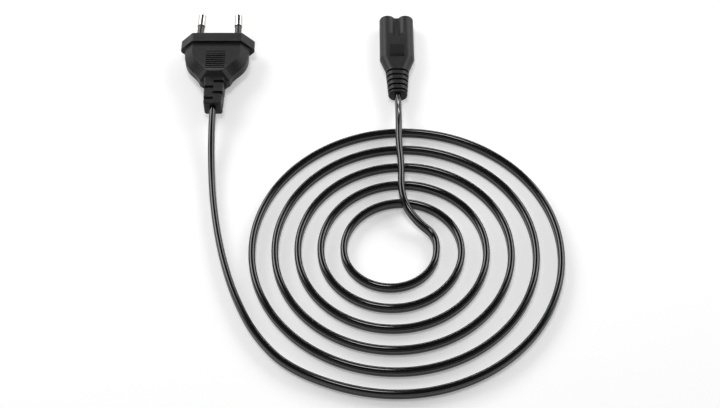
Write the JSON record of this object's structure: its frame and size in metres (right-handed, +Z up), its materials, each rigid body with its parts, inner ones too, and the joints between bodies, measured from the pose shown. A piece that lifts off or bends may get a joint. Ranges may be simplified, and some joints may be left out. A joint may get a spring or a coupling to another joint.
{
  "type": "power cord",
  "caption": "Mains lead with a flat plug on sleeved round pins, a flat cord laid in an open spiral coil, and a figure-8 appliance connector.",
  "frame": {"origin": "on the table, midway between the outer sides of the plug and the connector, and midway along the plug", "axes": "+Z up from the table, +Y the way the plug's pins and the connector's sockets point, +X from the plug to the connector"},
  "size_m": [0.1745, 0.2133, 0.0137],
  "materials": {
    "moulded_pvc": "matt moulded PVC with a fine grain",
    "cord_sheath": "smooth glossy extruded PVC",
    "nickel_plate": "polished nickel plate on brass",
    "sleeve_plastic": "smooth half-gloss moulded plastic",
    "hard_plastic": "matt hard moulded plastic",
    "contact_brass": "bright drawn brass",
    "brown_insulation": "satin PVC insulation",
    "blue_insulation": "satin PVC insulation",
    "copper_wire": "bright stranded copper"
  },
  "bodies": {
    "root": {"plug_body": "moulded_pvc", "connector_body": "moulded_pvc", "cord_tail": "cord_sheath", "cord_coil": "cord_sheath", "cord_lead": "cord_sheath", "left_pin": "nickel_plate", "right_pin": "nickel_plate", "left_pin_sleeve": "sleeve_plastic", "right_pin_sleeve": "sleeve_plastic", "plug_pin_bridge": "hard_plastic", "connector_insert": "hard_plastic", "left_contact": "contact_brass", "right_contact": "contact_brass", "live_core_in_plug": "brown_insulation", "live_core_in_connector": "brown_insulation", "neutral_core_in_plug": "blue_insulation", "neutral_core_in_connector": "blue_insulation", "live_wire_in_plug": "copper_wire", "neutral_wire_in_plug": "copper_wire", "live_wire_in_connector": "copper_wire", "neutral_wire_in_connector": "copper_wire"}
  },
  "joints": []
}
